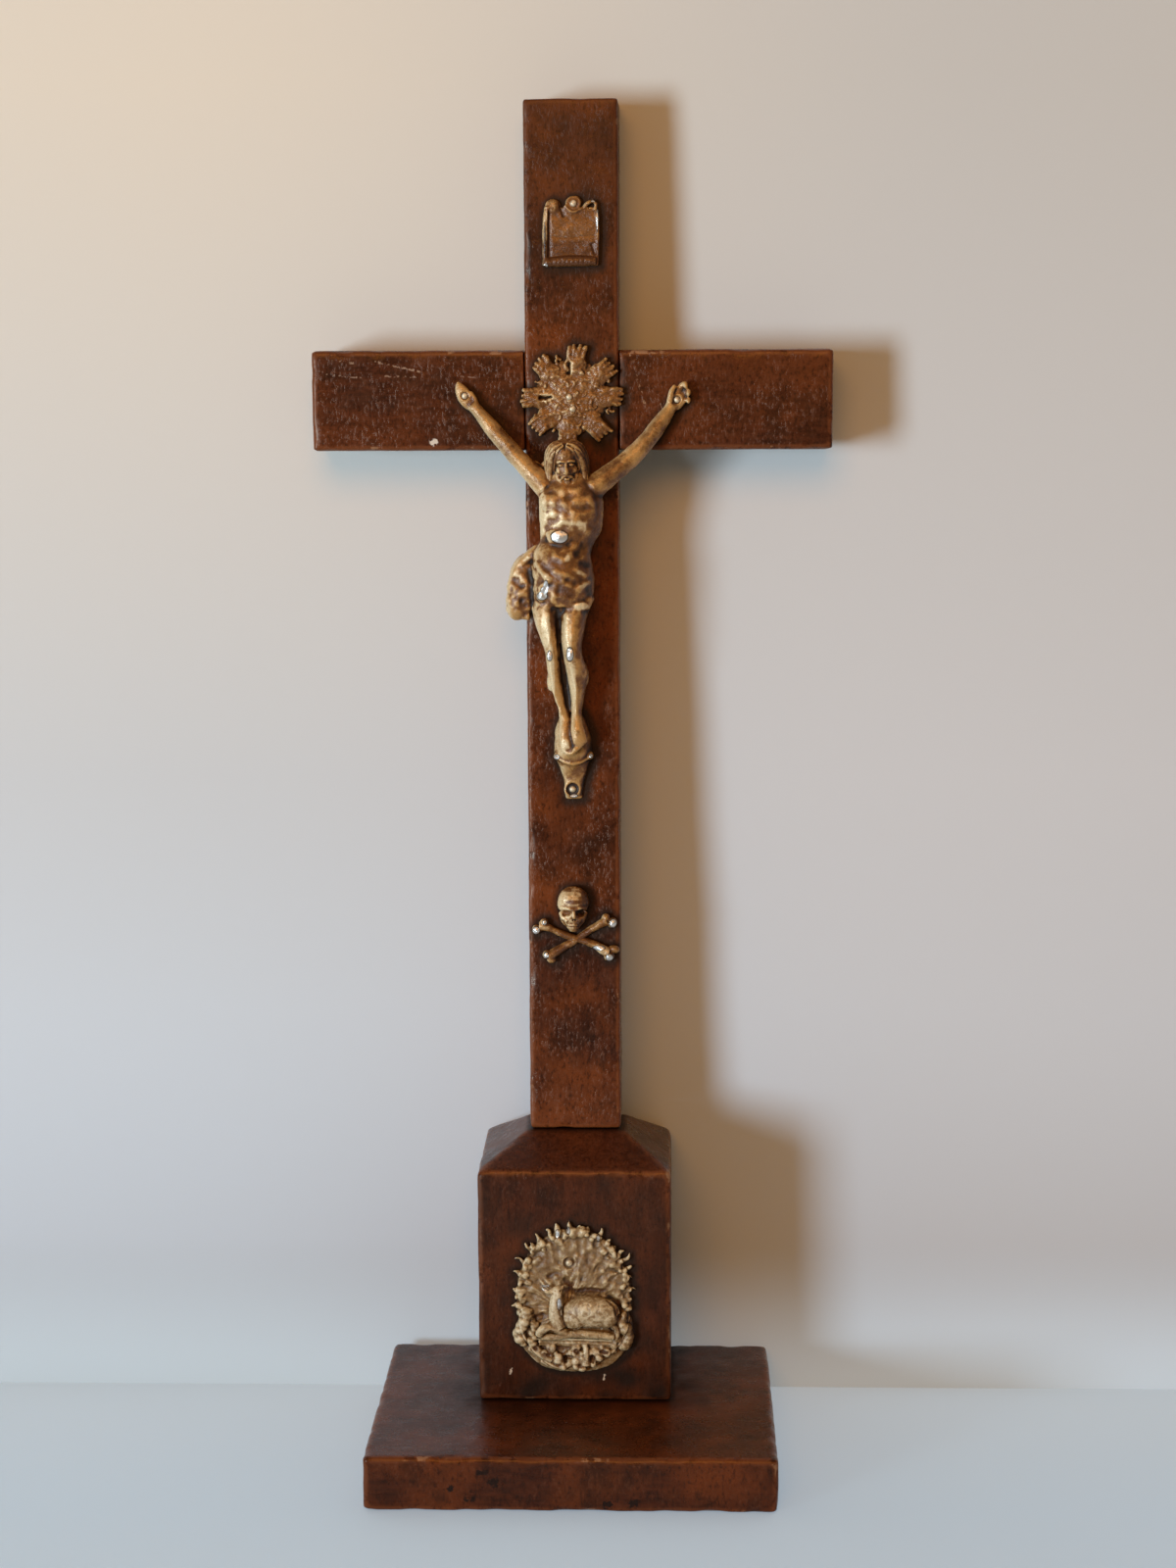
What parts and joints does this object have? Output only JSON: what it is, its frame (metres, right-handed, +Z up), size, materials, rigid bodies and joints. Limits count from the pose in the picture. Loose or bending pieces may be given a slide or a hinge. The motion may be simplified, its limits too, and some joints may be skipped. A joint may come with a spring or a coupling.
{
  "type": "standing crucifix",
  "caption": "Standing wooden crucifix on a hipped pedestal and flat foot, with a cast figure, rayed nimbus, scroll plaque, skull and crossed bones, and a lamb medallion.",
  "frame": {"origin": "middle of the underside of the foot, on the surface it stands on", "axes": "+Z up along the upright, +X to the right as seen from the front, front faces -Y"},
  "size_m": [0.153, 0.097, 0.4022],
  "materials": {
    "stained_wood": "dark red-brown stain under old pitted varnish",
    "bronzed_tin": "gold-brown bronzing worn to bare tin on the high points",
    "pale_tin": "pale gold wash with dark recesses",
    "pin_metal": "dull pin heads",
    "screw_steel": "dulled steel"
  },
  "bodies": {
    "root": {"base_plate": "stained_wood", "pedestal_block": "stained_wood", "upright_post": "stained_wood", "crossbar": "stained_wood", "titulus_plaque": "bronzed_tin", "nimbus": "bronzed_tin", "corpus": "bronzed_tin", "skull_and_crossbones": "bronzed_tin", "lamb_medallion": "pale_tin", "titulus_nail": "pin_metal", "nimbus_nails": "pin_metal", "hand_nails": "pin_metal", "foot_nail": "pin_metal", "medallion_nail": "pin_metal", "base_screws": "screw_steel"}
  },
  "joints": []
}
